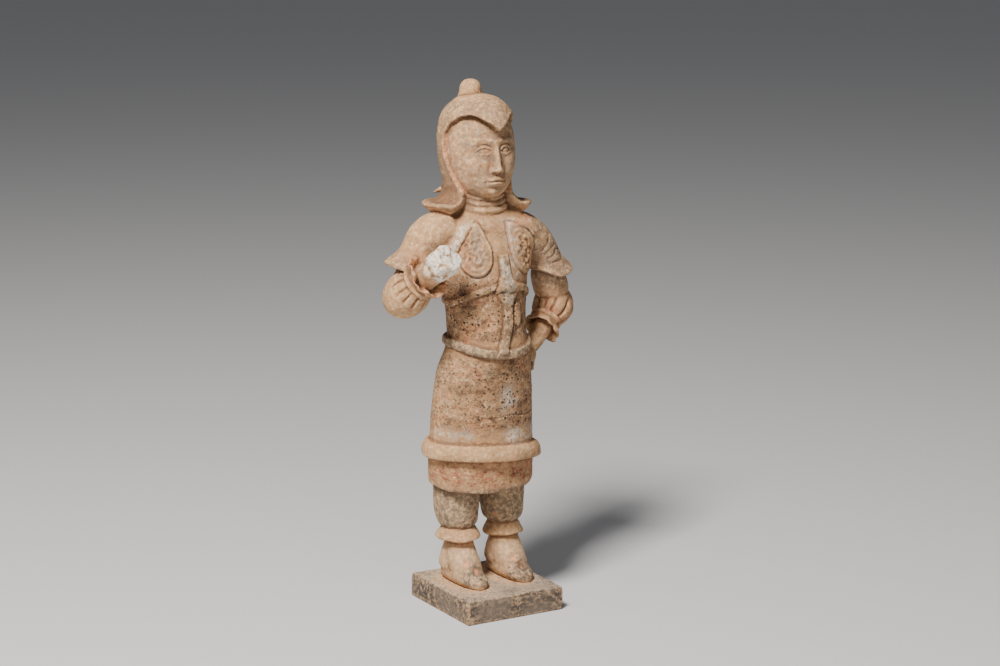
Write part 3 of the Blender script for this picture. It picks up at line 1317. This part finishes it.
class Coats:
    """A clay material built up coat by coat."""

    def __init__(self, name, colour):
        self.material = bpy.data.materials.new(name)
        self.material.use_nodes = True
        self.tree = self.material.node_tree
        self.shader = self.tree.nodes["Principled BSDF"]
        self.place = self.node("TexCoord").outputs["Object"]
        self.colour = self.flat(colour)
        self.normal = None

    def link(self, value, socket):
        """Links a socket or sets a constant."""
        if isinstance(value, bpy.types.NodeSocket):
            self.tree.links.new(value, socket)
        else:
            socket.default_value = value

    def node(self, kind, inputs=None, **settings):
        """A new node with its settings and its inputs, which are sockets or constants."""
        node = self.tree.nodes.new("ShaderNode" + kind)
        for setting, value in settings.items():
            setattr(node, setting, value)
        for name, value in (inputs or {}).items():
            self.link(value, node.inputs[name])
        return node

    def flat(self, colour):
        """One colour as a node."""
        node = self.node("RGB")
        node.outputs[0].default_value = (*colour, 1)
        return node.outputs[0]

    def stretched(self, scale, shift=(0, 0, 0)):
        """Object coordinates scaled along each axis."""
        return self.node("Mapping", {"Vector": self.place, "Scale": scale, "Location": shift}).outputs[0]

    def noise(self, size, detail=5, rough=0.6, place=None, warp=0):
        """Cloudy noise with lumps of a size in metres."""
        inputs = {"Vector": place or self.place, "Scale": 1 / size, "Detail": detail}
        return self.node("TexNoise", {**inputs, "Roughness": rough, "Distortion": warp}).outputs["Fac"]

    def specks(self, size):
        """The distance to scattered points, and three random numbers for each."""
        node = self.node("TexVoronoi", {"Vector": self.place, "Scale": 1 / size})
        return node.outputs["Distance"], self.parts_of(node.outputs["Color"])

    def spread(self, value, low, high, new_low=0, new_high=1, kind="LINEAR"):
        """A value carried from one range to another."""
        inputs = {"Value": value, "From Min": low, "From Max": high, "To Min": new_low, "To Max": new_high}
        return self.node("MapRange", inputs, interpolation_type=kind).outputs["Result"]

    def soft(self, value, low, high):
        """A soft threshold from nought at low to one at high."""
        if low > high:
            return self.spread(value, high, low, 1, 0, "SMOOTHSTEP")
        return self.spread(value, low, high, kind="SMOOTHSTEP")

    def times(self, *values):
        """The product of values."""
        product = values[0]
        for value in values[1:]:
            product = self.node("Math", {0: product, 1: value}, operation="MULTIPLY").outputs[0]
        return product

    def parts_of(self, colour):
        """The three parts of a colour."""
        return tuple(self.node("SeparateColor", {"Color": colour}).outputs)

    def mark(self, name):
        """The three shares stored on the mesh under a name."""
        return self.parts_of(self.node("Attribute", attribute_name=name).outputs["Color"])

    def mix(self, share, colour, kind="MIX"):
        """Mixes a colour into the one so far."""
        inputs = {"Factor": share, "A": self.colour, "B": colour}
        self.colour = self.node("Mix", inputs, data_type="RGBA", blend_type=kind).outputs["Result"]

    def coat(self, colour, strength, *masks):
        """Lays a colour over the ones below it, where all the masks are."""
        self.mix(self.times(*masks, strength), self.flat(colour))

    def shade(self, value, low, high):
        """Darkens and lightens the colour so far by a noise: low and high are what the ends multiply by."""
        self.mix(1, self.spread(value, 0.25, 0.75, low, high), "MULTIPLY")

    def raise_by(self, height, depth, strength):
        """A bump of a depth in metres, on top of the bumps before it."""
        node = self.node("Bump", {"Strength": strength, "Distance": depth, "Height": height})
        if self.normal is not None:
            self.link(self.normal, node.inputs["Normal"])
        self.normal = node.outputs["Normal"]

    def finish(self, rough_low, rough_high, rough_mask):
        """Joins colour, roughness and bump to the shader."""
        rough = self.spread(rough_mask, 0, 1, rough_low, rough_high)
        inputs = {"Base Color": self.colour, "Roughness": rough, "Normal": self.normal}
        for name, value in inputs.items():
            self.link(value, self.shader.inputs[name])
        self.shader.inputs["Specular IOR Level"].default_value = CLAY_SHINE
        return self.material


# %% Clay of the figure
BUFF = (0.590, 0.335, 0.162)
TAN = (0.430, 0.225, 0.110)
PINK = (0.520, 0.240, 0.130)
PALE = (0.700, 0.475, 0.270)
BROWN = (0.235, 0.125, 0.065)
ORANGE = (0.480, 0.190, 0.080)
TOE_GREY = (0.110, 0.092, 0.078)
GREY_SLIP = (0.215, 0.165, 0.112)
DARK_STREAK = (0.080, 0.068, 0.058)
SOOT = (0.030, 0.020, 0.015)
EARTH = (0.170, 0.085, 0.045)
LIME = (0.930, 0.840, 0.710)
HOOD_BROWN = (0.385, 0.230, 0.128)
BLUE_GREY = (0.165, 0.140, 0.115)
FRESH_CLAY = (0.800, 0.360, 0.190)
RED_SPECK = (0.420, 0.055, 0.030)
DUST = (0.600, 0.420, 0.270)
SPECKS = ((0.0068, 0.46), (0.0042, 0.42), (0.0026, 0.46))


def figure_material():
    """Buff clay with slip, lime, soot and specks."""
    clay = Coats("figure_clay", BUFF)
    hollow, edge, broad = clay.mark("wear")
    slip, lime, hooded = clay.mark("finish")
    fresh, cape, red = clay.mark("marks")
    soil, shoes, toes = clay.mark("soil")
    large = clay.noise(0.080, 4, 0.60)
    patches = clay.noise(0.030, 8, 0.66, warp=0.5)
    blots = clay.noise(0.014, 8, 0.68, clay.stretched((1, 1, 1.4), (0.7, 0.2, 0.4)), 0.3)
    small = clay.noise(0.0060, 6, 0.66)
    tiny = clay.noise(0.0020, 5, 0.60)
    upright = clay.noise(0.014, 6, 0.62, clay.stretched((1, 1, 0.30)), 0.6)
    level = clay.noise(0.018, 6, 0.62, clay.stretched((0.4, 0.4, 2.4)), 0.3)
    clay.coat(TAN, 0.42, clay.soft(large, 0.42, 0.62))
    clay.coat(PINK, 0.34, clay.soft(patches, 0.50, 0.64))
    clay.coat(PALE, 0.34, clay.soft(blots, 0.54, 0.68))
    clay.coat(HOOD_BROWN, 0.80, hooded, clay.soft(large, 0.16, 0.48))
    clay.coat(BLUE_GREY, 0.42, hooded, clay.soft(upright, 0.50, 0.60))
    clay.coat(BROWN, 0.315, cape)
    clay.coat(BLUE_GREY, 0.66, cape, clay.soft(patches, 0.36, 0.56))
    clay.coat(DUST, 0.55, shoes, clay.soft(patches, 0.34, 0.54))
    clay.coat(TOE_GREY, 0.92, toes, clay.soft(blots, 0.34, 0.50))
    clay.coat(GREY_SLIP, 0.88, slip, clay.soft(patches, 0.20, 0.40))
    clay.coat(DARK_STREAK, 0.40, slip, clay.soft(upright, 0.48, 0.66))
    clay.coat(DARK_STREAK, 0.25, slip, clay.soft(blots, 0.56, 0.66))
    clay.coat(BROWN, 0.50, soil, clay.soft(large, 0.30, 0.54))
    clay.coat(ORANGE, 0.45, soil, clay.soft(patches, 0.52, 0.62))
    mottle = clay.times(clay.soft(blots, 0.40, 0.54), clay.soft(small, 0.38, 0.54))
    clay.coat(EARTH, 0.95, mottle, soil)
    bands = clay.times(clay.soft(level, 0.48, 0.58), soil)
    clay.coat(EARTH, 0.75, bands, clay.soft(small, 0.42, 0.60))
    clay.coat(EARTH, 0.80, clay.soft(hollow, 0.14, 0.80), clay.soft(small, 0.30, 0.56))
    clay.coat(EARTH, 0.50, clay.soft(broad, 0.20, 0.95), clay.soft(patches, 0.35, 0.62))
    clay.coat(PALE, 0.55, clay.soft(edge, 0.16, 0.80), clay.soft(small, 0.40, 0.62))
    crust = clay.times(clay.soft(lime, 0.10, 0.80), clay.soft(blots, 0.42, 0.54))
    clay.coat(LIME, 0.85, crust, clay.soft(small, 0.36, 0.50))
    clay.coat(LIME, 0.90, clay.soft(lime, 0.55, 0.95), clay.soft(blots, 0.41, 0.50))
    clay.coat(FRESH_CLAY, 0.75, fresh, clay.soft(small, 0.34, 0.58))
    clay.coat(RED_SPECK, 0.70, red, clay.soft(blots, 0.48, 0.56), clay.soft(small, 0.46, 0.54))
    clay.coat(RED_SPECK, 0.30, clay.soft(upright, 0.58, 0.64), clay.soft(small, 0.50, 0.58))
    wet = clay.times(clay.soft(level, 0.38, 0.50), clay.soft(patches, 0.34, 0.48))
    for part, (size, share) in enumerate(SPECKS):
        far, numbers = clay.specks(size)
        chosen = clay.soft(numbers[part], share, share + 0.04)
        dots = clay.times(clay.soft(far, 0.36, 0.16), chosen, wet, clay.soft(soil, 0.52, 0.96))
        clay.coat(SOOT, 1, dots)
        clay.raise_by(clay.times(dots, -1), 0.0008, 0.7)
    stains = clay.times(clay.soft(blots, 0.52, 0.62), clay.soft(large, 0.38, 0.50))
    clay.coat(SOOT, 0.75, stains, clay.soft(small, 0.42, 0.56), soil)
    clay.shade(tiny, 0.76, 1.22)
    clay.shade(small, 0.70, 1.24)
    clay.shade(patches, 0.78, 1.16)
    clay.raise_by(patches, 0.0014, 0.6)
    clay.raise_by(small, 0.0012, 0.8)
    clay.raise_by(tiny, 0.0006, 1)
    return clay.finish(0.74, 0.99, small)


# %% Clay of the plinth
SLAB_GREY = (0.165, 0.128, 0.098)
SLAB_TAN = (0.500, 0.320, 0.185)
SLAB_DARK = (0.055, 0.045, 0.037)
TOP_GREY = (0.300, 0.240, 0.190)
SMEARED_CLAY = (0.620, 0.385, 0.215)


def plinth_material():
    """Dark grey slab with tan wear and clay smeared on its top."""
    clay = Coats("plinth_clay", SLAB_GREY)
    hollow, edge, top = clay.mark("wear")
    smear, dust, lefthand = clay.mark("finish")
    large = clay.noise(0.050, 5, 0.62, warp=0.5)
    patches = clay.noise(0.0085, 8, 0.74, clay.stretched((1, 1, 1.3)), 0.4)
    small = clay.noise(0.0045, 7, 0.70)
    tiny = clay.noise(0.0016, 6, 0.64)
    clay.coat(SLAB_DARK, 0.70, clay.soft(large, 0.40, 0.58))
    clay.coat(SLAB_TAN, 0.75, clay.soft(patches, 0.49, 0.60), clay.soft(large, 0.36, 0.56))
    clay.coat(SLAB_TAN, 0.2475, lefthand, clay.soft(patches, 0.46, 0.60))
    clay.coat(TOP_GREY, 0.80, top, clay.soft(patches, 0.30, 0.50))
    clay.coat(DUST, 0.80, dust, clay.soft(patches, 0.34, 0.54))
    clay.coat(SLAB_TAN, 0.75, clay.soft(edge, 0.12, 0.70), clay.soft(small, 0.38, 0.58))
    clay.coat(SLAB_DARK, 0.75, clay.soft(hollow, 0.15, 0.80))
    clay.coat(SMEARED_CLAY, 0.85, smear, clay.soft(patches, 0.34, 0.50))
    clay.coat(LIME, 0.30, clay.soft(small, 0.58, 0.66), clay.soft(large, 0.44, 0.58))
    far, numbers = clay.specks(0.0045)
    dots = clay.times(clay.soft(far, 0.36, 0.16), clay.soft(numbers[0], 0.55, 0.60))
    clay.coat(SLAB_DARK, 0.85, dots, clay.soft(patches, 0.42, 0.52))
    clay.shade(tiny, 0.82, 1.18)
    clay.shade(small, 0.78, 1.22)
    clay.raise_by(patches, 0.0012, 0.6)
    clay.raise_by(small, 0.0010, 0.8)
    clay.raise_by(tiny, 0.0004, 0.7)
    return clay.finish(0.72, 0.98, small)


for piece, material in ((figure, figure_material()), (plinth, plinth_material())):
    piece.data.materials.clear()
    piece.data.materials.append(material)
print("materials laid")

# %% [markdown]
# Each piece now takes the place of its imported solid, and rides on the one body there is.

# %% Hand the pieces over
for piece, node in ((figure, "figure"), (plinth, "plinth")):
    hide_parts(node)
    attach(piece, "root")
print("pieces ride on the root body")

# %% [markdown]
# The light is a plain soft studio light: one panel high at the figure's front right, a weak one before it,
# and an even pale surround, so that shadows stay open and the clay's relief can be read.

# %% Floor and light
FLOOR_SIZE = 80
FLOOR_COLOUR = (0.64, 0.64, 0.65, 1)
FIGURE_MIDDLE = Vector((0, 0, 0.38))
SURROUND_COLOUR = (0.90, 0.92, 0.95, 1)
SURROUND_STRENGTH = 0.16


def add_floor():
    """A plain pale floor."""
    floor = add_shape("floor", bpy.ops.mesh.primitive_plane_add, size=FLOOR_SIZE)
    paint = bpy.data.materials.new("pale_floor")
    paint.use_nodes = True
    shader = paint.node_tree.nodes["Principled BSDF"]
    shader.inputs["Base Color"].default_value = FLOOR_COLOUR
    shader.inputs["Roughness"].default_value = 0.85
    floor.data.materials.append(paint)
    return floor


def add_panel(name, place, size, power, colour):
    """A square light panel facing the figure's middle."""
    light = bpy.data.lights.new(name, "AREA")
    light.shape = "SQUARE"
    light.size = size
    light.energy = power
    light.color = colour
    panel = bpy.data.objects.new(name, light)
    bpy.context.scene.collection.objects.link(panel)
    panel.location = place
    panel.rotation_euler = (FIGURE_MIDDLE - Vector(place)).to_track_quat("-Z", "Y").to_euler()
    return panel


add_floor()
add_panel("main_panel", place=(-1.8, -1.3, 3.1), size=0.8, power=255, colour=(1, 0.96, 0.90))
add_panel("front_panel", place=(-0.6, -3, 1.6), size=1.4, power=9, colour=(0.98, 0.98, 1))
world = bpy.data.worlds.new("studio")
bpy.context.scene.world = world
world.use_nodes = True
surround = world.node_tree.nodes["Background"]
surround.inputs["Color"].default_value = SURROUND_COLOUR
surround.inputs["Strength"].default_value = SURROUND_STRENGTH
print("floor and light are set")
